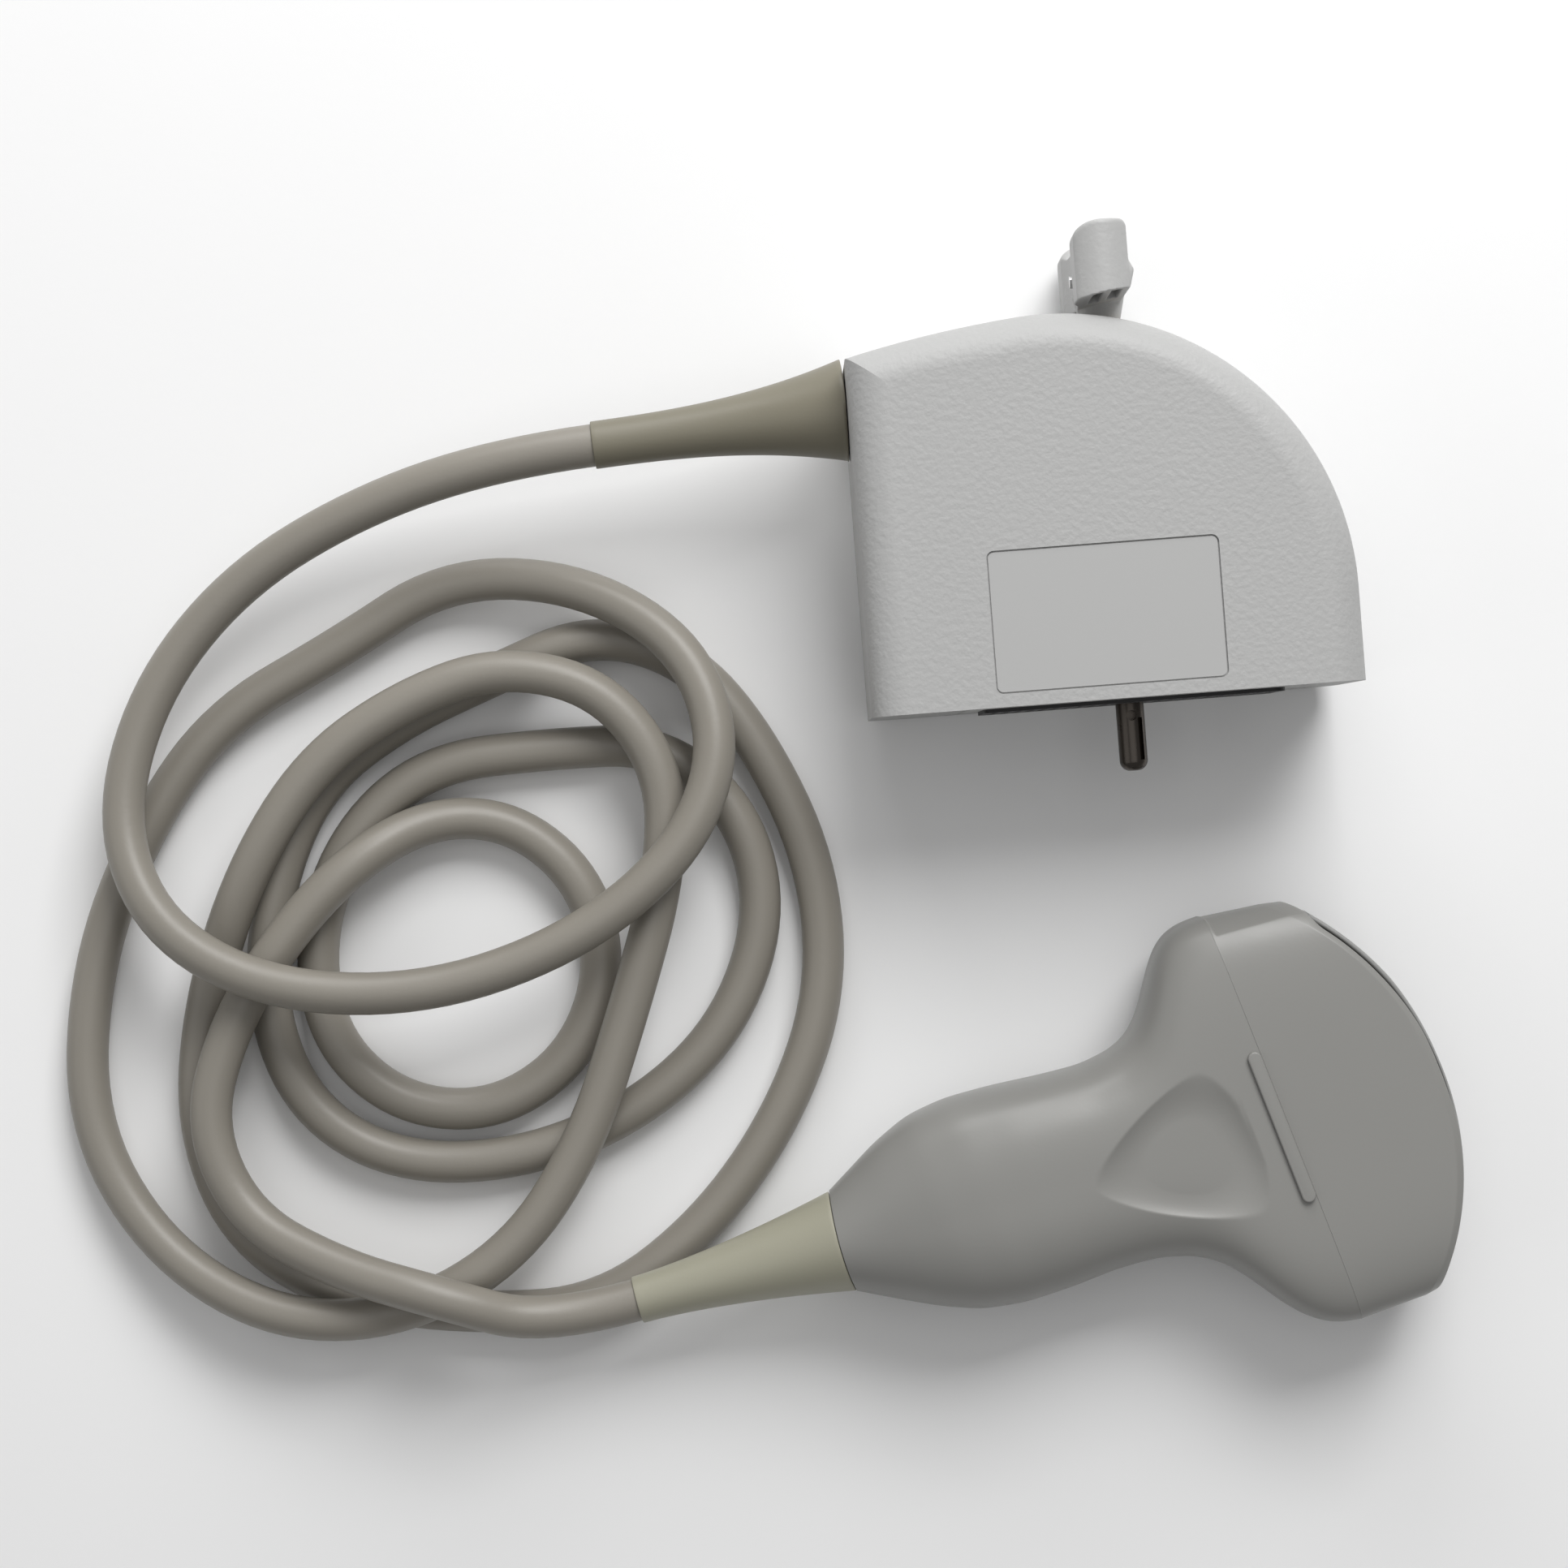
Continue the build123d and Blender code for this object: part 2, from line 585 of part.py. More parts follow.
def cable_saddle():
    """Metal strap that arches over the cable, with one foot on the post."""
    strap = box_between((-saddle_width / 2, 0, 0), (saddle_width / 2, saddle_foot_end, saddle_thick))
    arch = rod_along_x(cable_radius + saddle_thick, -saddle_width / 2, saddle_width / 2)
    strap += arch & box_between((-saddle_width, -half_thick, 0), (saddle_width, half_thick, half_thick))
    strap -= rod_along_x(cable_radius, -saddle_width, saddle_width)
    strap -= Pos(0, saddle_screw_side, saddle_thick / 2) * Cylinder(saddle_screw_radius, 2 * saddle_thick)
    return side_axis(saddle_from_wall) * strap


def saddle_screw():
    """Screw that holds the saddle's foot down on the post."""
    length = saddle_screw_length + saddle_thick
    screw = Pos(0, 0, saddle_thick + saddle_thick / 2) * Cylinder(saddle_screw_head, saddle_thick)
    screw += Pos(0, 0, saddle_thick - length / 2) * Cylinder(saddle_screw_radius, length)
    return side_axis(saddle_from_wall) * Pos(0, saddle_screw_side, 0) * screw


def connector_loom():
    """Bundle of fine leads from the cable's end to the board."""
    start = side_axis(cable_inside).position
    turn = side_axis(cable_inside + loom_lead).position
    end = Vector(turn.X, insert_depth + board_thick, 0)
    return tube_along(FilletPolyline([start, turn, end], radius=loom_bend), loom_radius)


def tube_along(path, radius):
    """Round tube swept along a path of straight runs and arcs."""
    return sweep(Plane(origin=path @ 0, z_dir=path % 0) * Circle(radius), path=path)


# Head parts lie in a local frame: seam at X = 0, lens towards +X, middle plane at Z = 0
def head_section(station, inset=0.0, half_width=None, half_thick_here=None, drift=None, power=None):
    """Closed section of the handle at one of its stations, drawn in by an inset."""
    half_width = seam_half_width * width_shares[station] if half_width is None else half_width
    half_thick_here = grip_half_thick * thick_shares[station] if half_thick_here is None else half_thick_here
    drift = head_drift * drift_shares[station] if drift is None else drift
    power = square_powers[station] if power is None else power
    x = -handle_length * station_shares[station]
    return section_face(x, drift, half_width - inset, half_thick_here - inset, power)


def section_face(x, middle, half_width, half_height, power):
    """Rounded-square face across the head: each coordinate is a cosine or sine raised to 2 / power."""
    points = []
    for i in range(section_points):
        angle = 2 * math.pi * (i + 1 / 2) / section_points
        across, up = math.cos(angle), math.sin(angle)
        y = middle + half_width * math.copysign(abs(across) ** (2 / power), across)
        z = half_height * math.copysign(abs(up) ** (2 / power), up)
        points.append((x, y, z))
    return make_face(Spline(points, periodic=True))


def handle_solid(inset=0.0):
    """Whole handle from the seam to its rear end, as one loft through its stations."""
    sections = [head_section(station, inset) for station in range(len(station_shares))]
    return loft(sections)


def head_boot_axis(depth):
    """Places local +X along the cable at the head's rear end, outwards from a depth inside it."""
    place = Pos(-handle_length, head_drift, 0) * Rot(0, 0, 180 - head_boot_turn)
    return place * Pos(-depth, 0, 0)


def thumb_dimple():
    """Cutter for the dimple: a rounded triangle with bulging sides, cut by a shallow dish."""
    top = grip_half_thick * thick_shares[6]
    sides = []
    for side, bulge in enumerate(dimple_bulges):
        next_corner = dimple_corners[(side + 1) % len(dimple_corners)]
        sides.append(ThreePointArc(dimple_corners[side], bulge, next_corner))
    face = make_face(sides)
    for corner, radius in zip(dimple_corners, dimple_radii):
        nearest = face.vertices().sort_by_distance(Vector(*corner, 0))[0]
        face = fillet(nearest, radius)
    prism = Pos(0, 0, top - 2 * dimple_depth) * extrude(face, amount=4 * dimple_depth)
    dish_radius = (dimple_reach ** 2 + dimple_depth ** 2) / (2 * dimple_depth)
    return prism & (Pos(*dimple_middle, top - dimple_depth + dish_radius) * Sphere(dish_radius))


def orientation_ridge():
    """Raised bar beside the seam."""
    top = grip_half_thick * thick_shares[0]
    bar = SlotOverall(ridge_length, ridge_width, rotation=90)
    middle = (-seam_gap / 2 - ridge_width / 2, -ridge_side, top - ridge_rise)
    bar = Pos(*middle) * extrude(bar, amount=2 * ridge_rise)
    return fillet(bar.edges().group_by(Axis.Z)[-1], ridge_rise / 3)


def handle_shell():
    """Hollow handle, both halves together, with a rib that holds the ferrule."""
    outer = handle_solid()
    rear = head_boot_axis(0) * rod_along_x(head_neck_radius, -head_neck_length * 2, cut_over)
    collar = head_boot_axis(0) * rod_along_x(
        head_collar_radius, -head_neck_length - head_collar_thick, -head_neck_length)
    room = handle_solid(head_wall)
    plug = -handle_length + head_wall + head_neck_length
    room -= Pos(plug - handle_length, head_drift, 0) * Box(2 * handle_length, seam_half_width, 2 * grip_half_thick)
    shell = outer - room - rear - collar
    return shell - Box(seam_gap, 3 * seam_half_width, 2 * grip_half_thick)


def half_space(side):
    """Large box on one side of the middle plane."""
    reach = 2 * handle_length
    return Pos(0, 0, side * reach / 2) * Box(2 * reach, 2 * reach, reach)


def handle_front(shell):
    """Upper half of the handle with the thumb dimple and the orientation ridge."""
    half = shell & half_space(1)
    inner_top = grip_half_thick * thick_shares[0] - head_wall
    tip, lower, upper = dimple_corners
    backing = box_between((tip[0], lower[1], inner_top - dimple_depth),
                          (lower[0], upper[1], inner_top + head_wall / 2))
    backing = backing & handle_solid(head_wall / 2)
    return half + backing - thumb_dimple() + orientation_ridge()


def handle_back(shell):
    """Lower half of the handle."""
    return shell & half_space(-1)


def nose_section(x, share, inset):
    """Section of the nose at a share of its length, from the same rounded square as the handle's seam."""
    half_width = seam_half_width * (1 - (1 - nose_front_width_share) * share)
    half_height = grip_half_thick * thick_shares[0] * (1 - (1 - nose_front_thick_share) * share)
    seam_side = head_drift * drift_shares[0]
    middle = seam_side - (nose_front_side + seam_side) * share
    return section_face(x, middle, half_width - inset, half_height - inset, square_powers[0])


def nose_solid(inset, start, end):
    """Nose block between two places along the head, narrowing a little to the front."""
    front = lens_radius - lens_centre_back
    return loft([nose_section(place, max(place, 0) / front, inset) for place in (start, end)])


def lens_axis():
    """Place of the vertical axis that the lens and the stack behind it share."""
    return Pos(-lens_centre_back, -lens_side, 0)


def arc_plate(inner_radius, outer_radius, half_height, half_angle):
    """Plate between two arcs about the lens axis."""
    ring = Rectangle(outer_radius - inner_radius, 2 * half_height)
    face = Plane.XZ * Pos((inner_radius + outer_radius) / 2, 0) * ring
    sector = revolve(face, axis=Axis.Z, revolution_arc=2 * half_angle)
    return lens_axis() * Rot(0, 0, -half_angle) * sector


def nose_shell():
    """Nose shell: open to the front along the rim arc, with a lip that enters the handle."""
    front = lens_radius - lens_centre_back
    body = nose_solid(0, seam_gap / 2, front)
    body = body & (lens_axis() * Cylinder(nose_rim_radius, 4 * grip_half_thick))
    body -= nose_solid(nose_wall, -seam_gap, front + cut_over)
    narrowing = seam_half_width * (1 - width_shares[1])
    sideways = head_drift * (drift_shares[1] - drift_shares[0])
    lip_inset = head_wall + lip_clear + narrowing + sideways
    root_end = seam_gap / 2 + nose_wall
    lip = nose_solid(lip_inset, -lip_length, root_end)
    lip += nose_solid(nose_wall - lip_root, seam_gap / 2, root_end)
    lip -= nose_solid(lip_inset + lip_thick, -lip_length - cut_over, root_end + cut_over)
    return body + lip


def lens_front():
    """Radius at which the flat stack behind the lens begins."""
    return nose_rim_radius - lens_thick


def acoustic_lens():
    """Silicone lens: a crowned arc that covers the nose rim, with a block that enters the nose."""
    rim_half = grip_half_thick * thick_shares[0] * nose_front_thick_share - nose_wall + lens_overlap
    inner_half = rim_half - lens_overlap - stack_clear
    rim = nose_rim_radius + lens_gap
    edge = lens_radius - lens_crown
    side_low = Line((rim, -rim_half), (edge, -rim_half))
    crown = ThreePointArc((edge, -rim_half), (lens_radius, 0), (edge, rim_half))
    side_high = Line((edge, rim_half), (rim, rim_half))
    step_high = Polyline((rim, rim_half), (rim, inner_half), (lens_front(), inner_half),
                         (lens_front(), -inner_half), (rim, -inner_half), (rim, -rim_half))
    face = Plane.XZ * make_face(side_low + crown + side_high + step_high)
    sector = revolve(face, axis=Axis.Z, revolution_arc=2 * lens_half_angle)
    lens = lens_axis() * Rot(0, 0, -lens_half_angle) * sector
    room = nose_solid(nose_wall + stack_clear, -seam_gap, lens_radius)
    beyond = lens_axis() * (
        Cylinder(2 * lens_radius, 4 * grip_half_thick) - Cylinder(rim, 4 * grip_half_thick))
    return lens & (room + beyond)


def matching_layer():
    """Matching layer glued behind the lens."""
    return arc_plate(lens_front() - matching_thick, lens_front(), stack_half_height, stack_half_angle)


def piezo_elements():
    """Row of diced piezo elements along the arc."""
    outer = lens_front() - matching_thick
    pitch = 2 * stack_half_angle / element_count
    half = pitch * (1 - kerf_share) / 2
    element = arc_plate(outer - element_thick, outer, stack_half_height, half)
    turns = [(i - (element_count - 1) / 2) * pitch for i in range(element_count)]
    centre = lens_axis()
    return Compound(children=[centre * Rot(0, 0, turn) * centre.inverse() * element for turn in turns])


def backing_outer():
    """Radius of the backing's front face."""
    return lens_front() - matching_thick - element_thick


def backing_block():
    """Damping block behind the elements."""
    return arc_plate(backing_outer() - backing_thick, backing_outer(), stack_half_height, stack_half_angle)


def array_carrier():
    """Aluminium carrier: an arc plate on the backing and a rail that holds the board."""
    outer = backing_outer() - backing_thick
    plate = arc_plate(outer - carrier_thick, outer, stack_half_height, stack_half_angle)
    end = outer - carrier_thick / 2 - lens_centre_back
    start = rail_short - head_board_end
    rail = box_between((start, -rail_half_width, -rail_thick), (end, rail_half_width, 0))
    return plate + rail


def head_board():
    """Interconnect board that lies on the carrier's rail, up to the bend of the upper flex circuit."""
    return box_between((-head_board_end, -head_board_half_width, 0),
                       (-flex_tail, head_board_half_width, head_board_thick))


def flex_circuit(side):
    """Flex circuit on one face of the backing, with a tail that comes down on the board."""
    inner = backing_outer() - backing_thick - carrier_thick
    plate = arc_plate(inner, backing_outer(), flex_thick / 2, stack_half_angle)
    plate = Pos(0, 0, side * (stack_half_height + flex_thick / 2)) * plate
    rest = head_board_thick + flex_thick / 2 if side > 0 else -rail_thick - flex_thick / 2
    high = side * (stack_half_height + flex_thick / 2)
    bend_start = inner - lens_centre_back
    line = Polyline((bend_start + flex_half_width / 2, high), (bend_start / 2, high),
                    (-flex_tail, rest), (-flex_tail - flex_half_width, rest))
    strip = Plane.XZ * offset(line, amount=flex_thick / 2, kind=Kind.INTERSECTION)
    tail = extrude(strip, amount=flex_half_width, both=True)
    return plate + tail


def head_boot():
    """Cream strain relief: flared body, neck through the handle's rear end, collar inside."""
    lean = head_boot_radius * math.tan(math.radians(head_boot_turn))
    body = head_boot_axis(0) * flared_boot(head_boot_length, head_boot_radius, 2 * lean, head_flare_shares)
    keep = box_between((-handle_length - boot_gap, -seam_half_width, -grip_half_thick),
                       (0, seam_half_width, grip_half_thick))
    body -= keep
    neck = rod_along_x(head_neck_radius - boot_clear, -head_neck_length, lean + boot_gap)
    collar = rod_along_x(head_collar_radius - boot_clear, -head_neck_length - head_collar_thick,
                         -head_neck_length)
    bore = rod_along_x(cable_radius + boot_clear, -cable_in_head, head_boot_length + cut_over)
    return body + head_boot_axis(0) * (neck + collar) - head_boot_axis(0) * bore


def head_ferrule():
    """Crimp ferrule round the cable behind the strain relief's collar."""
    start = -head_neck_length - head_collar_thick - ferrule_length
    ring = rod_along_x(cable_radius + ferrule_thick, start, start + ferrule_length)
    ring -= rod_along_x(cable_radius, start - cut_over, start + ferrule_length + cut_over)
    return head_boot_axis(0) * ring


def head_loom():
    """Bundle of fine leads from the cable's end onto the board."""
    start = head_boot_axis(cable_in_head).position
    turn = head_boot_axis(cable_in_head + head_loom_lead).position
    top = head_boot_axis(cable_in_head + head_loom_lead + head_loom_rise).position
    end = head_boot_axis(cable_in_head + 2 * head_loom_lead + 2 * head_loom_rise).position
    up = Vector(0, 0, head_board_thick + loom_radius + boot_clear)
    return tube_along(FilletPolyline([start, turn, top + up, end + up], radius=loom_bend), loom_radius)


# The cable in the frame of the whole part
def cable_corners():
    """Corners of the centre line; each end runs straight out of its strain relief."""
    side_end = connector_place * side_axis(-side_boot_length)
    side_lead = connector_place * side_axis(-side_boot_length - cable_lead)
    head_end = head_place * head_boot_axis(-head_boot_length)
    lead_end = head_place * head_boot_axis(-head_boot_length - head_lead)
    middle = [Vector(*point) for point in cable_route]
    return [side_end.position, side_lead.position] + middle + [lead_end.position, head_end.position]


def cable_radii(corners):
    """Radius of the arc at each corner of the route, from its shorter run and its turn."""
    radii = []
    for before, here, after in zip(corners, corners[1:], corners[2:]):
        turn = (here - before).get_angle(after - here)
        run = min((here - before).length, (after - here).length)
        radii.append(arc_share * run / math.tan(math.radians(turn) / 2))
    return radii


def cable():
    """Cable from the saddle in the connector to the ferrule in the head, as one tube."""
    corners = cable_corners()
    radii = cable_radii(corners)
    path = FilletPolyline(corners, radius=radii)
    print("cable arc radii", " ".join(str(round(radius)) for radius in radii))
    free = tube_along(path, cable_radius)
    length = path.length
    print("free cable length", round(length), "volume against section", free.volume / (
        length * math.pi * cable_radius ** 2))
    start = connector_place * side_axis(0) * rod_along_x(cable_radius, -cable_inside, side_boot_length)
    end = head_place * head_boot_axis(0) * rod_along_x(cable_radius, -cable_in_head, head_boot_length)
    return free + start + end


os.makedirs("parts", exist_ok=True)
whole_handle = handle_shell()
connector_parts = {
    "housing_top": housing_top(),
    "housing_bottom": housing_bottom(),
    "housing_screws": housing_screws(),
    "label_plate": label_plate(),
    "connector_frame": connector_frame(),
    "contact_insert": contact_insert(),
    "contacts": contacts(),
    "connector_board": connector_board(),
    "shaft_bush": shaft_bush(),
    "lock_shaft": lock_shaft(),
    "shaft_clip": shaft_clip(),
    "lever": lever(),
    "lever_pin": lever_pin_rod(),
    "connector_boot": connector_boot(),
    "cable_saddle": cable_saddle(),
    "saddle_screw": saddle_screw(),
    "connector_loom": connector_loom(),
}
head_parts = {
    "handle_front": handle_front(whole_handle),
    "handle_back": handle_back(whole_handle),
    "nose_shell": nose_shell(),
    "acoustic_lens": acoustic_lens(),
    "matching_layer": matching_layer(),
    "piezo_elements": piezo_elements(),
    "backing_block": backing_block(),
    "array_carrier": array_carrier(),
    "head_board": head_board(),
    "flex_circuit_upper": flex_circuit(1),
    "flex_circuit_lower": flex_circuit(-1),
    "head_boot": head_boot(),
    "head_ferrule": head_ferrule(),
    "head_loom": head_loom(),
}
for name, shape in connector_parts.items():
    export_step(connector_place * shape, f"parts/{name}.step")
for name, shape in head_parts.items():
    export_step(head_place * shape, f"parts/{name}.step")
export_step(cable(), "parts/cable.step")
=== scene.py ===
import math

import bmesh
import bpy
import numpy as np
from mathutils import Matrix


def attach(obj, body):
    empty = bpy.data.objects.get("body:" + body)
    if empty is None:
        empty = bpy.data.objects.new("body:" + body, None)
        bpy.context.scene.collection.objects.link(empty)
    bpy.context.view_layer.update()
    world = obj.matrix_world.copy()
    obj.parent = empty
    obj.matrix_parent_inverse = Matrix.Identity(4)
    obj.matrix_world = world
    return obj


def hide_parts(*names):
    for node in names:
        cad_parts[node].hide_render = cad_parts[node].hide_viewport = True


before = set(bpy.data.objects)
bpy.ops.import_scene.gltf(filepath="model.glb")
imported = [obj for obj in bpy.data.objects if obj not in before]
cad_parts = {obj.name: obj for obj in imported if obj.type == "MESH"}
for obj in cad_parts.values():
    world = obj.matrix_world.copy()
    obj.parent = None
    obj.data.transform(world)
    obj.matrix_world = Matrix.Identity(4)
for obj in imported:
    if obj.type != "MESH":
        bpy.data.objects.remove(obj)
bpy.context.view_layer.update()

# Camera: straight above the bench with a long lens and turned a little, as the picture of the real part was
# taken. It holds the whole part, from the coil's left side to the probe's lens.
camera_data = bpy.data.cameras.new("overhead_camera")
camera_data.sensor_width = 36
camera_data.lens = 81.6
camera = bpy.data.objects.new("overhead_camera", camera_data)
camera.location = (-0.0572, -0.0404, 0.600)
camera.rotation_euler = (0, 0, math.radians(-4.4))
bpy.context.scene.collection.objects.link(camera)
bpy.context.scene.camera = camera

# Cable: one round jacket of warm grey PVC over the coaxial bundle, extruded in one length. It leaves the
# connector's strain relief, lies in loose turns on the bench and on itself, and enters the head's.
cable_diameter = 0.0070
cable_points = np.array([
    (-84.02, 17.09, 20), (-99.5, 16.16, 20), (-123.0, 10.6, 16.5), (-145.0, 0, 12.5), (-161, -17, 11),
    (-168, -38, 12.5), (-162, -56, 17), (-144.5, -67.5, 19), (-119, -70.5, 19), (-94, -64, 19),
    (-75, -51, 19), (-66.5, -34, 17), (-71.5, -16, 13), (-89, -4, 8), (-111, -1.5, 4.5),
    (-130, -12, 3.7), (-151, -22, 3.7), (-165, -39.5, 3.7), (-175.5, -62, 3.7), (-178.5, -88, 3.7),
    (-168, -109.5, 5.5), (-149, -122.5, 10.5), (-128, -124, 11), (-108, -115, 11), (-94.5, -97.5, 11.3),
    (-85, -74, 11.4), (-78, -54, 11.4), (-76.5, -36.5, 11.4), (-86, -22, 11.4), (-103, -17, 11.4),
    (-120, -22, 11.4), (-135.5, -31.5, 11.4), (-148, -49, 10.5), (-157, -70, 4.5), (-160, -90.5, 3.7),
    (-154, -109, 3.7), (-138, -120.5, 3.7), (-116.5, -125, 3.7), (-94.5, -125.5, 3.7), (-76, -113.5, 3.7),
    (-61.5, -96, 3.7), (-52.5, -75.5, 3.7), (-52.8, -53, 3.7), (-61.8, -31, 3.7), (-72.5, -17.5, 3.7),
    (-88, -12.5, 3.7), (-104.5, -18.5, 3.7), (-121, -24.7, 3.7), (-135.4, -34.2, 3.7), (-144, -51, 3.7),
    (-147, -71, 3.7), (-141.5, -88.5, 3.7), (-127, -98.8, 3.7), (-106, -100, 3.7), (-85, -93, 3.7),
    (-69.3, -80, 3.7), (-61.5, -61.5, 3.7), (-64.8, -44, 3.7), (-77.5, -32, 3.7), (-96, -31.5, 3.7),
    (-116.2, -32.3, 3.7), (-130, -42.5, 3.7), (-137.8, -59, 3.7), (-137, -76.5, 3.7), (-126.5, -88.6, 3.7),
    (-110.8, -91.7, 3.7), (-96.5, -84.4, 3.7), (-89.2, -70.1, 3.7), (-91.4, -54.3, 3.7), (-102.4, -43.2, 3.7),
    (-116.4, -41.2, 5.5), (-130, -48, 11), (-142, -59.5, 11.3), (-152, -73.5, 11.3), (-157.5, -89.5, 11.3),
    (-151.5, -105.5, 11.5), (-136, -114.5, 15.8), (-119.5, -119.8, 20), (-103.38, -126.6, 13.5),
    (-87.71, -123.36, 13.5),
]) / 1000


def moulded(name, colour, roughness, grain, relief, mottle=0.03, specular=0.5):
    """Moulded or extruded polymer. Fine noise of the grain's size lifts the surface by the relief, a second
    noise ten times as coarse shifts roughness, and a third, far coarser, shifts the colour by the mottle."""
    material = bpy.data.materials.new(name)
    material.use_nodes = True
    tree = material.node_tree
    shader = tree.nodes["Principled BSDF"]
    shader.inputs["Specular IOR Level"].default_value = specular
    place = tree.nodes.new("ShaderNodeTexCoord")
    fine = tree.nodes.new("ShaderNodeTexNoise")
    fine.inputs["Scale"].default_value = 1 / grain
    fine.inputs["Detail"].default_value = 2
    bump = tree.nodes.new("ShaderNodeBump")
    bump.inputs["Distance"].default_value = relief
    bump.inputs["Strength"].default_value = 1
    middle = tree.nodes.new("ShaderNodeTexNoise")
    middle.inputs["Scale"].default_value = 0.1 / grain
    spread = tree.nodes.new("ShaderNodeMapRange")
    spread.inputs["To Min"].default_value = roughness - 0.05
    spread.inputs["To Max"].default_value = roughness + 0.05
    broad = tree.nodes.new("ShaderNodeTexNoise")
    broad.inputs["Scale"].default_value = 45
    broad.inputs["Detail"].default_value = 3
    tint = tree.nodes.new("ShaderNodeMix")
    tint.data_type = "RGBA"
    tint.inputs["A"].default_value = (*[c * (1 - mottle) for c in colour], 1)
    tint.inputs["B"].default_value = (*[c * (1 + mottle) for c in colour], 1)
    link = tree.links.new
    for noise in (fine, middle, broad):
        link(place.outputs["Object"], noise.inputs["Vector"])
    link(fine.outputs["Fac"], bump.inputs["Height"])
    link(bump.outputs["Normal"], shader.inputs["Normal"])
    link(middle.outputs["Fac"], spread.inputs["Value"])
    link(spread.outputs["Result"], shader.inputs["Roughness"])
    link(broad.outputs["Fac"], tint.inputs["Factor"])
    link(tint.outputs["Result"], shader.inputs["Base Color"])
    return material


jacket = moulded("cable_jacket", (0.25, 0.232, 0.20), 0.42, 0.0007, 0.00002, mottle=0.05)
cable_curve = bpy.data.curves.new("cable_line", "CURVE")
cable_curve.dimensions = "3D"
line = cable_curve.splines.new("NURBS")
line.points.add(len(cable_points) - 1)
line.points.foreach_set("co", np.column_stack([cable_points, np.ones(len(cable_points))]).ravel())
line.order_u = 3
line.use_endpoint_u = True
line.resolution_u = 8
cable_curve.bevel_depth = cable_diameter / 2
cable_curve.bevel_resolution = 8
cable_curve.use_fill_caps = True
cable = bpy.data.objects.new("cable_jacket", cable_curve)
bpy.context.scene.collection.objects.link(cable)
cable.data.materials.append(jacket)
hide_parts("cable")
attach(cable, "probe")

# Bench and light: a plain pale bench top in a room with its window behind it. A broad key lamp stands above
# and behind, a lower one stands for the window, and two weak ones hang overhead and at the left.
# The room itself gives an even white glow.
bench_reach, bench_drop = 3.0, 0.0002
floor_mesh = bpy.data.meshes.new("bench_top")
floor_mesh.from_pydata([(-bench_reach, -bench_reach, 0), (bench_reach, -bench_reach, 0),
                        (bench_reach, bench_reach, 0), (-bench_reach, bench_reach, 0)], [], [(0, 1, 2, 3)])
floor = bpy.data.objects.new("bench_top", floor_mesh)
floor.location = (0, 0, -bench_drop)
bpy.context.scene.collection.objects.link(floor)
floor.data.materials.append(moulded("bench_white", (0.88, 0.88, 0.88), 0.6, 0.002, 0.00001, mottle=0.005))
for name, energy, size, place, turn in (
    ("key_lamp", 10.6, 0.60, (0.29, 0.73, 0.84), (-39, 19, 0)),
    ("window_lamp", 3.6, 0.50, (-0.10, 0.95, 0.42), (-65.5, -13.5, 0)),
    ("top_lamp", 3.0, 1.3, (-0.05, 0.05, 1.50), (0, 0, 0)),
    ("left_lamp", 1.0, 0.8, (-0.95, -0.10, 0.60), (0, -55, 0)),
):
    lamp_data = bpy.data.lights.new(name, "AREA")
    lamp_data.energy = energy
    lamp_data.size = size
    lamp = bpy.data.objects.new(name, lamp_data)
    lamp.location = place
    lamp.rotation_euler = [math.radians(a) for a in turn]
    bpy.context.scene.collection.objects.link(lamp)
world = bpy.data.worlds.new("soft_room")
world.use_nodes = True
world.node_tree.nodes["Background"].inputs["Color"].default_value = (1, 1, 1, 1)
world.node_tree.nodes["Background"].inputs["Strength"].default_value = 0.24
bpy.context.scene.world = world
bpy.context.scene.view_settings.view_transform = "Standard"

# Connector strain relief: a flare of olive grey PVC moulded on the cable, from a wide root at the housing
# wall to a narrow tip. Its root stops a hair short of the wall.
relief_tip, relief_edge = 0.0039, 0.0002
side_length, side_root, side_power = 0.0417, 0.00835, 2.6
side_turn = 183.45
housing_side, side_gap = -0.0424, 0.0002
side_exit, shaft_level = 0.0196, 0.020


def grid_piece(name, points, material):
    """Closed mesh from a grid of points, rows along u and columns round v. Quads join neighbours, the columns
    wrap round, and the first and last rows are filled by one face each."""
    rows, columns = points.shape[:2]
    index = np.arange(rows * columns).reshape(rows, columns)
    after = np.roll(index, -1, axis=1)
    faces = np.stack([index[:-1], after[:-1], after[1:], index[1:]], axis=-1).reshape(-1, 4).tolist()
    faces += [index[0][::-1].tolist(), index[-1].tolist()]
    mesh = bpy.data.meshes.new(name)
    mesh.from_pydata(points.reshape(-1, 3).tolist(), [], faces)
    mesh.update()
    mesh.shade_smooth()
    piece = bpy.data.objects.new(name, mesh)
    bpy.context.scene.collection.objects.link(piece)
    mesh.materials.append(material)
    return piece


def revolved(profile):
    """Grid of a profile of (along, radius) pairs turned about the X axis in even steps."""
    columns = 120
    turn = np.linspace(0, 2 * np.pi, columns, endpoint=False)
    along = np.repeat(profile[:, :1], columns, axis=1)
    return np.stack([along, profile[:, 1:] * np.cos(turn), profile[:, 1:] * np.sin(turn)], axis=-1)


def placed(points, turn, shift):
    """Points turned about the Z axis by an angle in degrees, then shifted."""
    c, s = math.cos(math.radians(turn)), math.sin(math.radians(turn))
    x, y, z = points[..., 0], points[..., 1], points[..., 2]
    return np.stack([c * x - s * y, s * x + c * y, z], axis=-1) + np.array(shift)


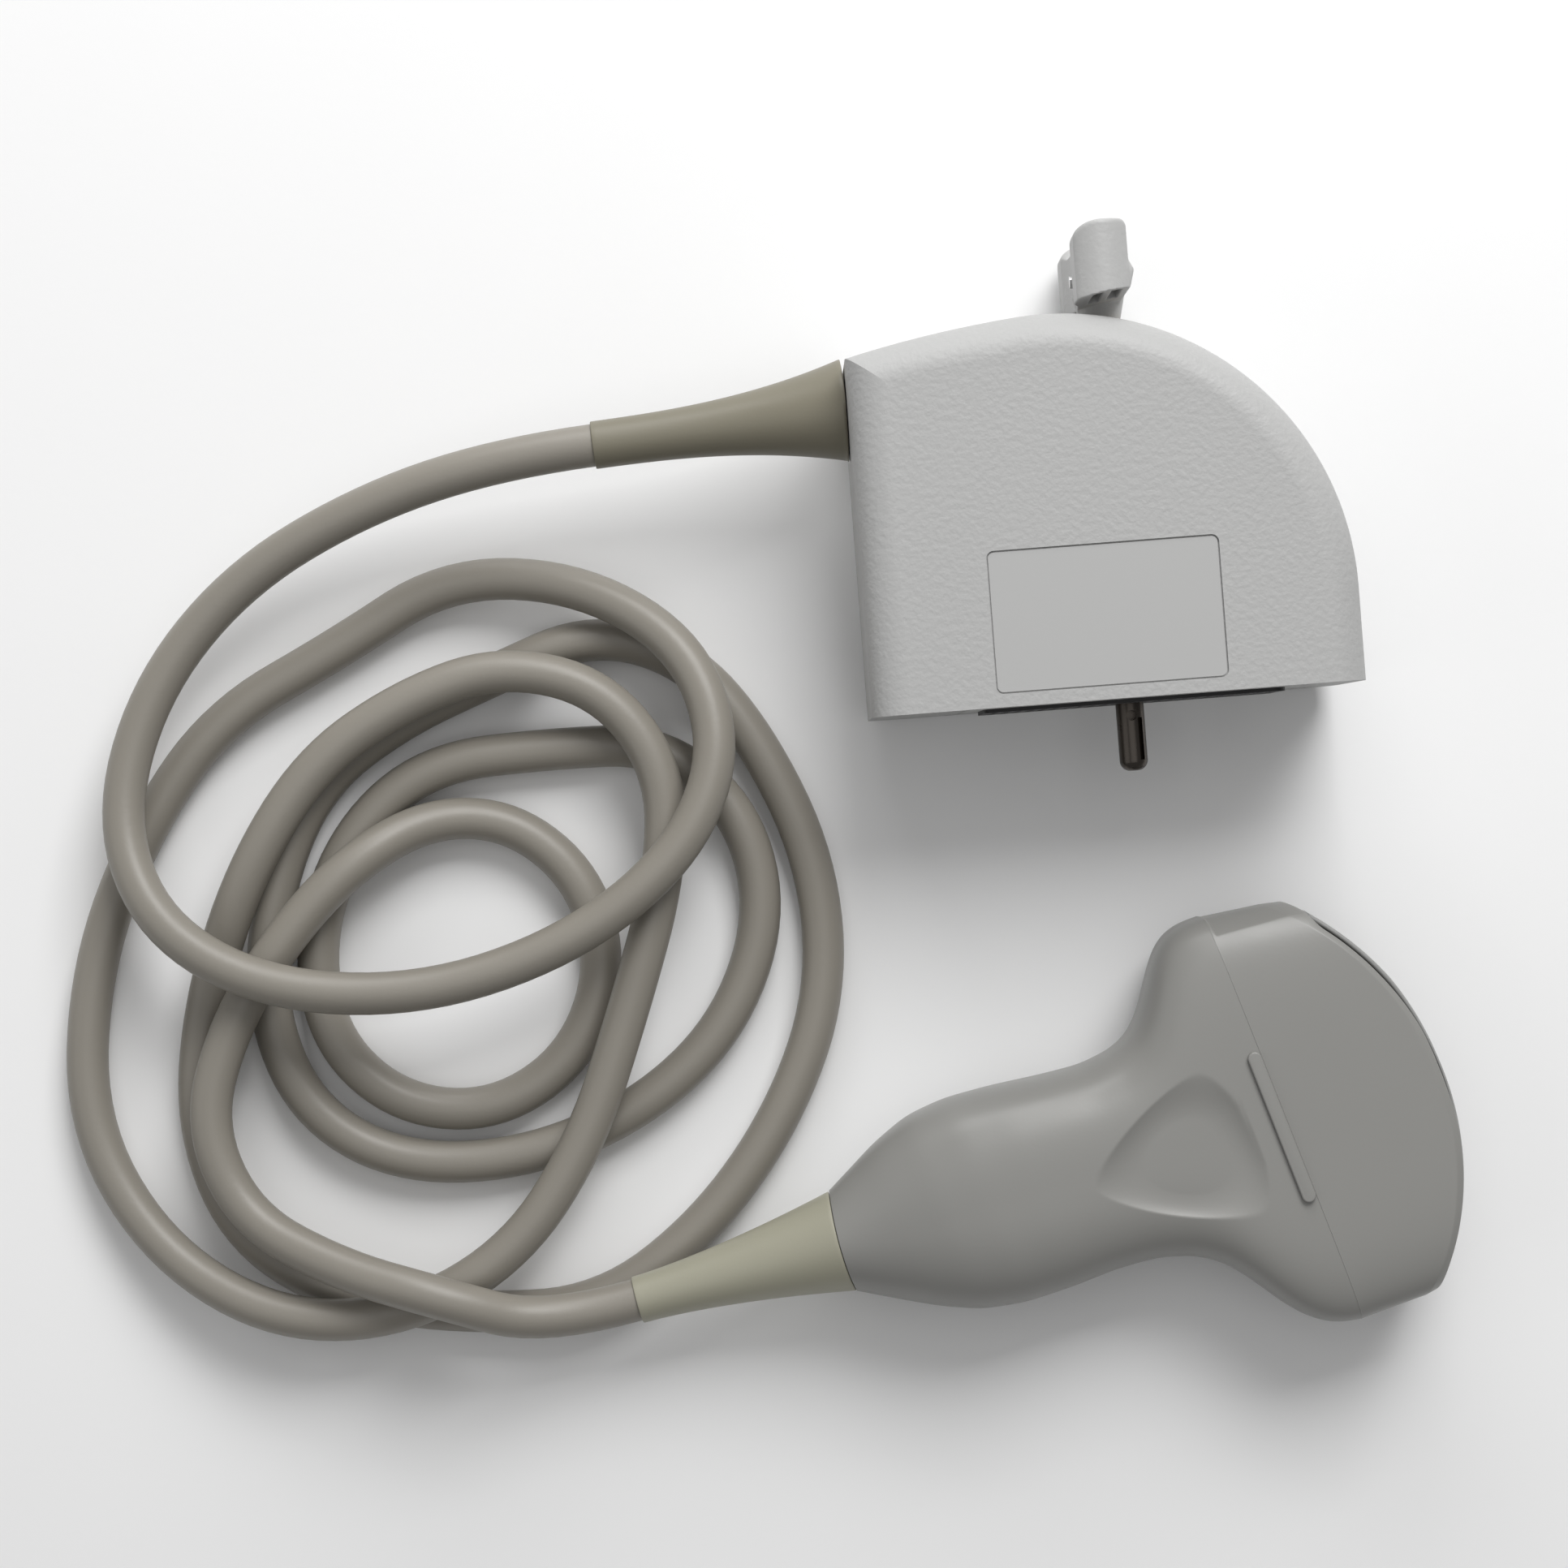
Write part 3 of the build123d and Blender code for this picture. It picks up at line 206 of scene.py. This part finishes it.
def flare(length, root, tip, power, edge):
    """Profile of a flare: the radius falls from root to tip as a power of the way left. The root's rim and the
    tip are rounded by the edge radius, and the tip turns in to the bore round the cable."""
    bore, bore_depth = cable_diameter / 2 + 0.0001, 0.004
    turn = np.linspace(0, np.pi / 2, 6)
    start = np.column_stack([edge - edge * np.cos(turn), root - edge + edge * np.sin(turn)])
    way = np.linspace(0, 1, 60)[1:]
    body = np.column_stack([edge + way * (length - 2 * edge), tip + (root - tip) * (1 - way) ** power])
    lip = np.column_stack([length - edge + edge * np.sin(turn[1:]), tip - edge + edge * np.cos(turn[1:])])
    hole = np.array([(length, bore), (length - bore_depth, bore)])
    return np.vstack([[(0, root / 2)], start, body, lip, hole])


olive = moulded("olive_relief", (0.19, 0.175, 0.13), 0.42, 0.0005, 0.000012)
side_flare = revolved(flare(side_length, side_root, relief_tip, side_power, relief_edge))
side_points = placed(side_flare, side_turn, (housing_side, side_exit, shaft_level))
side_points[..., 0] = np.minimum(side_points[..., 0], housing_side - side_gap)
connector_relief = grid_piece("connector_relief", side_points, olive)
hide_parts("connector_boot")
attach(connector_relief, "probe")

# Head strain relief: the same kind of flare in cream PVC at the rear end of the grip.
# Its root is hollowed a little, so that the seam with the grip is seen as a shallow bow.
head_turn = 17.2
head_shift = np.array((0.0194, -0.09995, 0.0135))
head_length, head_root, head_power = 0.0352, 0.0084, 1.6
head_gap, bow_reach = 0.00012, 0.012
# The grip's rear end in millimetres and degrees, from the middle of the seam between grip and nose.
rear_end, rear_side, rear_lean, rear_bow = 74.2, 5.885, 5.5, 0.6
cream = moulded("cream_relief", (0.325, 0.315, 0.245), 0.42, 0.0005, 0.000012)
head_flare = revolved(flare(head_length, head_root, relief_tip, head_power, relief_edge))
bow_share = np.clip(1 - head_flare[..., 0] / bow_reach, 0, 1) ** 2 * (head_flare[..., 2] / head_root) ** 2
head_flare[..., 0] += head_gap + rear_bow / 1000 * bow_share
head_flare = placed(head_flare, 180 - rear_lean, (-rear_end / 1000, rear_side / 1000, 0))
head_relief = grid_piece("head_relief", placed(head_flare, head_turn, head_shift), cream)
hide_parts("head_boot")
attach(head_relief, "probe")

# Handle: two halves of grey ABS, moulded and glued round the middle plane, as one skin with a thumb dimple.
# Its section is a rounded square that narrows to the waist and swells to the palm. Sizes are in millimetres.
handle_columns, handle_blur = 480, 1.6
lean_start, rear_half = 62, 8.5
dimple_depth, lip_share = 1.3, 0.97
handle_table = np.array([
    # behind the seam, half width, side drift, half thickness, squareness
    (0, 35.25, -1.33, 12.0, 5), (3, 35.1, -1.0, 12.03, 4.8), (6, 34.16, -0.6, 12.06, 4.5),
    (8.5, 32.4, -0.28, 12.1, 4.1), (11, 29.36, -0.25, 12.15, 3.75), (14, 24.5, 0.0, 12.22, 3.4),
    (17, 20.63, 0.31, 12.3, 3.2), (21, 18.23, 0.77, 12.45, 3.0), (27, 16.9, 1.53, 12.75, 2.9),
    (34, 16.95, 2.33, 13.1, 2.9), (42, 17.65, 2.97, 13.42, 2.8), (50, 17.9, 3.64, 13.38, 2.7),
    (57, 17.0, 4.2, 12.7, 2.5), (63.5, 14.4, 4.65, 11.3, 2.3), (69, 11.4, 5.2, 9.8, 2.1),
    (74.2, 8.5, 5.885, 8.5, 2.0),
])


def smooth_stations(table, places, blur):
    """Values of a table at many places: straight steps between the rows, then rounded off by a bell curve."""
    fine = np.linspace(table[0, 0], table[-1, 0], 800)
    step = fine[1] - fine[0]
    reach = int(3 * blur / step)
    bell = np.exp(-0.5 * (np.arange(-reach, reach + 1) * step / blur) ** 2)
    bell /= bell.sum()
    columns = []
    for values in table[:, 1:].T:
        line = np.interp(fine, table[:, 0], values)
        start = 2 * line[0] - line[reach:0:-1]
        end = 2 * line[-1] - line[-2:-reach - 2:-1]
        line = np.convolve(np.concatenate([start, line, end]), bell, mode="valid")
        columns.append(np.interp(places, fine, line))
    return np.array(columns)


def squared_ring(half_width, half_height, power, columns):
    """Rounded-square ring: cosine and sine of an even turn, each raised to two over the power."""
    turn = np.linspace(0, 2 * np.pi, columns, endpoint=False)
    across, up = np.cos(turn), np.sin(turn)
    y = half_width[:, None] * np.sign(across) * np.abs(across) ** (2 / power[:, None])
    z = half_height[:, None] * np.sign(up) * np.abs(up) ** (2 / power[:, None])
    return y, z


def thumb_dimple(x, y):
    """Depth share of the dimple: the product of the distances inside three bulging sides, which is zero at the
    rim, steep beside it and level at the bottom. A little is taken off, so that the corners come out round."""
    corners = np.array([(-34.6, 0.5), (-7.7, -14.5), (-9.6, 12.6)])
    bulges = (2.3, 3.3, 1.7)
    middle_product, trim, steepness = 760, 0.06, 0.75
    share = 1 / middle_product
    for side, bulge in enumerate(bulges):
        start, end = corners[side], corners[(side + 1) % 3]
        run = end - start
        length = np.hypot(*run)
        along = ((x - start[0]) * run[0] + (y - start[1]) * run[1]) / length
        off = (run[0] * (y - start[1]) - run[1] * (x - start[0])) / length
        part = np.clip(along / length, -0.3, 1.3)
        share = share * np.clip(off + bulge * 4 * part * (1 - part), 0, None)
    share = np.clip((share - trim) / (1 - trim), 0, 1)
    return share * (1 + steepness * (1 - share))


behind = np.concatenate([(0.01, 0.06, 0.2), np.linspace(0.5, 73, 380), np.linspace(73.1, rear_end, 12)])
half_width, drift, half_height, power = smooth_stations(handle_table, behind, handle_blur)
y, z = squared_ring(half_width, half_height, power, handle_columns)
y = y + drift[:, None]
x = np.repeat(-behind[:, None], handle_columns, axis=1)
end_share = np.clip((behind - lean_start) / (rear_end - lean_start), 0, 1)[:, None] ** 2
x = x + end_share * ((y - rear_side) * math.tan(math.radians(rear_lean)) - rear_bow * (z / rear_half) ** 2)
top = np.clip(z / half_height[:, None], 0, 1) ** 2
z = z - dimple_depth * thumb_dimple(x, y) * top
skin = np.stack([x, y, z], axis=-1) / 1000
lip = skin[:1].copy()
lip[..., 1:] *= lip_share
skin = np.concatenate([lip, skin])[::-1]
head_grey = moulded("head_grey", (0.255, 0.252, 0.239), 0.36, 0.0006, 0.000008, mottle=0.02)
handle = grid_piece("handle_skin", placed(skin, head_turn, head_shift), head_grey)
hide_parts("handle_front", "handle_back")
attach(handle, "probe")

# Orientation ridge: a raised bar on the upper half beside the seam, which shows the plane's reference side.
# It is part of the moulding, with round ends and a soft top edge, and its foot is sunk into the skin.
bar_length, bar_width, bar_rise, bar_sink, bar_soft = 0.026, 0.0023, 0.0009, 0.0012, 0.0003


def raised_bar(length, width, rise, sink, soft):
    """Bar with round ends: an outline of two half circles, drawn in along a quarter circle towards the top."""
    columns = 96
    turn = np.linspace(0, 2 * np.pi, columns, endpoint=False)
    side = np.where(np.sin(turn) > 0, 1, -1) * (length - width) / 2
    bend = np.linspace(0, np.pi / 2, 7)
    levels = np.concatenate([[-sink], rise - soft + soft * np.sin(bend)])
    inset = np.concatenate([[0], soft * (1 - np.cos(bend))])
    radius = width / 2 - inset[:, None]
    return np.stack([radius * np.cos(turn), side + radius * np.sin(turn),
                     np.repeat(levels[:, None], columns, axis=1)], axis=-1)


bar = raised_bar(bar_length, bar_width, bar_rise, bar_sink, bar_soft) + np.array((-0.0012, -0.0016, 0.012))
ridge = grid_piece("orientation_ridge", placed(bar, head_turn, head_shift), head_grey)
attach(ridge, "probe")

# Nose: a grey ABS shell glued on at the seam, open along the arc that the lens fills. Its faces end in a crease
# along each side, a bevel follows the front rim, and the corners stand forward on both sides of the lens.
# Sizes are in millimetres here and in the lens.
nose_half_width, nose_half_height, nose_length = 35.25, 12.0, 28.2
narrow_share, thin_share = 0.057, 0.07
seam_side, side_drift = 1.33, 2.77
# Radii about the lens axis, which lies behind the seam and to the side of the head's middle.
rim_radius, flat_radius, lens_back, lens_side = 48.4, 47.3, 21.8, 2.8
upper_draw, upper_run = 0.28, 18
corner_rise, corner_start, corner_run, low_corner_share = 1.05, 28.0, 5.0, 0.3
# The side walls cut the ring's corners off, and begin within the first part of a millimetre.
wall_cut, wall_fade, wall_power, wall_run, low_wall_share = 5.1, 2.0, 2.5, 0.6, 0.35
bevel_in_share, bevel_thin_share = 0.6, 0.55
seam_line = 0.035


def nose_skin():
    """Rows from the seam to the rim arc. A ring is the handle's rounded square, cut by two steep side walls.
    Each column runs forward until its distance from the lens axis is the flat radius; then it turns down over
    the bevel to the rim radius, which grows at the corners and shrinks a little on the upper side, and goes
    back inside. The walls' cut is found by halving, and the rows' place by repeating the sum."""
    turn = np.linspace(0, 2 * np.pi, handle_columns, endpoint=False)
    across, up = np.cos(turn), np.sin(turn)
    square_y = np.sign(across) * np.abs(across) ** 0.4
    square_z = np.sign(up) * np.abs(up) ** 0.4
    first_guess = 14.0
    rows = []

    def ring(share, inset, setback):
        ring_x = np.full(handle_columns, first_guess * share)
        for _ in range(10):
            along = np.clip(ring_x / nose_length, 0, 1)
            width = nose_half_width * (1 - narrow_share * along) - bevel_in_share * inset
            thinner = inset * (1 - bevel_thin_share * np.clip(square_y, 0, 1) ** 2)
            height = nose_half_height * (1 - thin_share * along) - thinner
            begun = np.clip(ring_x / wall_run, 0, 1) * np.where(across > 0, 1, low_wall_share)
            slope = (wall_cut - wall_fade * along) * begun * begun * (3 - 2 * begun)
            low, high = np.zeros(handle_columns), np.ones(handle_columns)
            for _ in range(16):
                size = (low + high) / 2
                outside = size * np.abs(square_y) > 1 - slope / width * (size * np.abs(square_z)) ** wall_power
                low, high = np.where(outside, low, size), np.where(outside, size, high)
            ring_y = width * high * square_y - seam_side - side_drift * along
            ring_z = height * high * square_z
            beside = ring_y + lens_side
            swell = np.clip((np.abs(beside) - corner_start) / corner_run, 0, 1)
            swell = swell * np.where(across > 0, 1, low_corner_share)
            rim = rim_radius + corner_rise * swell * swell * (3 - 2 * swell)
            rim = rim - upper_draw * np.clip(beside / upper_run, 0, 1)
            reach_x = np.sqrt((rim - setback * (rim - flat_radius)) ** 2 - beside ** 2) - lens_back
            ring_x = reach_x * share
        points = np.stack([ring_x, ring_y, ring_z], axis=-1)
        for _ in range(3):
            points = 0.5 * points + 0.25 * np.roll(points, 1, axis=0) + 0.25 * np.roll(points, -1, axis=0)
        rows.append(points)

    for share, inset in ((0, 0.5), (0, -seam_line), (0.004, -seam_line), (0.007, 0)):
        ring(share, inset, 1)
    for share in np.linspace(0.012, 1, 90):
        ring(share, 0, 1)
    for inset, setback in ((0.01, 0.97), (0.05, 0.88), (0.42, 0.10), (0.50, 0.03), (0.60, 0), (0.90, 0),
                           (0.98, 0.35), (1.9, 0.35), (2.0, 0.6), (2.1, 3)):
        ring(1, inset, setback)
    return np.array(rows) / 1000


nose = grid_piece("nose_skin", placed(nose_skin(), head_turn, head_shift), head_grey)
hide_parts("nose_shell")
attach(nose, "probe")

# Lens: grey silicone cast over the array, a crowned arc that stands just proud of the nose rim. A thin line
# parts it from the rim, and the line widens to a dark gap towards the upper corner.
lens_low_end, lens_high_end = -41.9, 39.6
lens_columns, lens_rows = 160, 41
lens_half_height, lens_half_width, lens_offset = 11.2, 33.6, 3.0
slit, slit_growth = 0.90, 0.32
lens_radius, lens_crown, lens_edge_round = 48.6, 0.33, 0.25
lens_edge, edge_growth, front_growth = 48.15, 0.2, 0.5
# The array's arc has its own axis, and the lens is cast on the matching layer in front of it.
array_radius, array_back, array_side, array_cover = 46.4, 0.7, 1.0, 0.7


def lens_skin():
    """A closed profile in radius and height, carried round the lens axis through the arc's angle. The profile's
    height follows the rim, and the gap to it opens towards the upper end, where the front stands prouder."""
    angle = np.radians(np.linspace(lens_low_end, lens_high_end, lens_columns))
    beside = 48 * np.sin(angle) - lens_side
    half = lens_half_height * (1 - np.abs((beside + lens_offset) / lens_half_width) ** 5) ** 0.2 - slit
    half = half - slit_growth * np.clip((angle - 0.15) / 0.45, 0, 1)
    level = np.sin(np.linspace(-1, 1, lens_rows) * np.pi / 2)
    rounding = lens_edge_round * np.clip((np.abs(level) - 0.96) / 0.04, 0, 1) ** 2
    front = lens_radius + lens_crown * (1 - level ** 2) - rounding
    front = front + front_growth * np.clip((angle[:, None] - 0.05) / 0.3, 0, 1)
    height = np.hstack([half[:, None] * level, half[:, None] * [[0.99, 0.9, 0.9, -0.9, -0.9, -0.99]]])
    inner = array_radius - array_back * np.cos(angle) + array_side * np.sin(angle)
    inner = np.minimum(inner + array_cover, flat_radius)[:, None]
    edge = lens_edge + edge_growth * np.clip(angle[:, None] / 0.35, 0, 1)
    radius = np.hstack([front, edge, edge, inner, inner, edge, edge])
    x = np.cos(angle)[:, None] * radius - lens_back
    y = np.sin(angle)[:, None] * radius - lens_side
    return np.stack([x, y, height], axis=-1)[::-1] / 1000


silicone = moulded("lens_silicone", (0.27, 0.27, 0.262), 0.33, 0.0008, 0.000004)
lens = grid_piece("lens_skin", placed(lens_skin(), head_turn, head_shift), silicone)
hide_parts("acoustic_lens")
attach(lens, "probe")

# Connector housing: two shells of light grey ABS, moulded with an eroded grain and screwed together from below.
# The upper shell carries the label recess.


def dress(material, *names):
    """Gives a material to CAD nodes, which keep their own meshes."""
    for name in names:
        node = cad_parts[name]
        node.data.materials.clear()
        node.data.materials.append(material)


housing_grey = moulded("housing_grey", (0.42, 0.42, 0.415), 0.5, 0.0010, 0.00012, mottle=0.015, specular=0.4)
dress(housing_grey, "housing_top", "housing_bottom")

# Label plate: a smooth film of polyester, glued into the recess of the upper shell.
# It is left bare.
dress(moulded("label_film", (0.43, 0.43, 0.425), 0.3, 0.0006, 0.000005, mottle=0.006), "label_plate")

# Turn lever: grey ABS, moulded with the housing's grain, hollow under both arms and pinned to the lock shaft.
# Both ends are rounded for the fingers, and the back dips to a saddle between them. Sizes are in millimetres.
shaft_height, arm_length, arm_share = 20, 19.4, 0.94
lever_middle, lever_half, round_share, round_start = -0.6, 4.3, 0.12, 0.62
saddle_depth, saddle_end, saddle_run = 2.1, 0.58, 0.28
lever_foot, lever_rise = 38.8, 6.2
lever_grey = moulded("lever_grey", (0.44, 0.44, 0.435), 0.5, 0.0010, 0.00008, mottle=0.015, specular=0.4)


def even_copy(node, name, size, material):
    """Copy of a CAD node, merged and meshed anew in small even faces that can be bent."""
    work = bmesh.new()
    work.from_mesh(node.data)
    bmesh.ops.remove_doubles(work, verts=work.verts, dist=1e-6)
    mesh = bpy.data.meshes.new(name)
    work.to_mesh(mesh)
    work.free()
    piece = bpy.data.objects.new(name, mesh)
    bpy.context.scene.collection.objects.link(piece)
    remesh = piece.modifiers.new("even", "REMESH")
    remesh.mode = "VOXEL"
    remesh.voxel_size = size
    soft = piece.modifiers.new("soft", "SMOOTH")
    soft.factor = 0.5
    soft.iterations = 3
    view = bpy.context.evaluated_depsgraph_get()
    even = bpy.data.meshes.new_from_object(piece.evaluated_get(view))
    piece.modifiers.clear()
    piece.data = even
    bpy.data.meshes.remove(mesh)
    even.name = name
    even.materials.clear()
    even.materials.append(material)
    even.shade_smooth()
    return piece


lever = even_copy(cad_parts["lever"], "lever_skin", 0.00020, lever_grey)
points = np.empty(len(lever.data.vertices) * 3)
lever.data.vertices.foreach_get("co", points)
points = points.reshape(-1, 3) * 1000
end = (points[:, 2] - shaft_height) / arm_length
sag = np.clip((points[:, 0] - lever_middle) / lever_half, -1, 1) ** 2
far_end = np.clip((np.abs(end) - round_start) / (1 - round_start), 0, 1)
saddle = np.clip((saddle_end - np.abs(end)) / saddle_run, 0, 1)
saddle = saddle * saddle * (3 - 2 * saddle)
points[:, 2] = shaft_height + arm_length * end * (arm_share - round_share * sag * far_end)
points[:, 1] -= saddle_depth * saddle * np.clip((points[:, 1] - lever_foot) / lever_rise, 0, 1)
lever.data.vertices.foreach_set("co", (points / 1000).ravel())
lever.data.update()
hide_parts("lever")
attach(lever, "lock_spindle")

# Metal pieces of the lock and the fastenings: turned shaft with a dark finish, bright clip, pin, screws,
# saddle and ferrule, and a brass bush.


def metal(name, colour, roughness, grain, relief):
    """Turned, pressed or plated metal: fully metallic, with noise in roughness and a faint relief."""
    material = moulded(name, colour, roughness, grain, relief, mottle=0.06)
    material.node_tree.nodes["Principled BSDF"].inputs["Metallic"].default_value = 1.0
    return material


dress(metal("dark_steel", (0.085, 0.075, 0.066), 0.28, 0.0004, 0.000008), "lock_shaft")
dress(metal("bright_steel", (0.55, 0.55, 0.55), 0.3, 0.0004, 0.00001),
      "shaft_clip", "lever_pin", "housing_screws", "saddle_screw", "cable_saddle", "head_ferrule")
dress(metal("bush_brass", (0.70, 0.52, 0.24), 0.35, 0.0004, 0.00001), "shaft_bush")

# Mouth of the connector: a cast metal frame round a black moulded insert, with gold-plated blades in its slots.
dress(metal("frame_metal", (0.45, 0.45, 0.44), 0.45, 0.0006, 0.00002), "connector_frame")
dress(moulded("insert_black", (0.012, 0.012, 0.013), 0.5, 0.0004, 0.00001), "contact_insert")
dress(metal("contact_gold", (0.83, 0.62, 0.27), 0.25, 0.0004, 0.000005), "contacts")

# Boards and flex circuits: glass laminate under green solder mask, and amber polyimide film.
# The bundles of fine leads at both ends are taped dark grey.
dress(moulded("board_green", (0.02, 0.12, 0.05), 0.3, 0.001, 0.00001), "connector_board", "head_board")
dress(moulded("flex_amber", (0.45, 0.20, 0.04), 0.3, 0.001, 0.00001),
      "flex_circuit_upper", "flex_circuit_lower")
dress(moulded("lead_bundle", (0.10, 0.10, 0.11), 0.6, 0.0006, 0.00005), "connector_loom", "head_loom")

# Acoustic stack behind the lens: ochre matching resin, sawn ceramic elements, dark loaded backing and a
# milled aluminium carrier, all glued in one piece.
dress(moulded("matching_resin", (0.35, 0.26, 0.08), 0.6, 0.0008, 0.00002), "matching_layer")
dress(moulded("ceramic", (0.50, 0.45, 0.32), 0.7, 0.0006, 0.00002), "piezo_elements")
dress(moulded("backing_resin", (0.05, 0.045, 0.045), 0.8, 0.0008, 0.00003), "backing_block")
dress(metal("carrier_aluminium", (0.72, 0.72, 0.73), 0.4, 0.0006, 0.00001), "array_carrier")
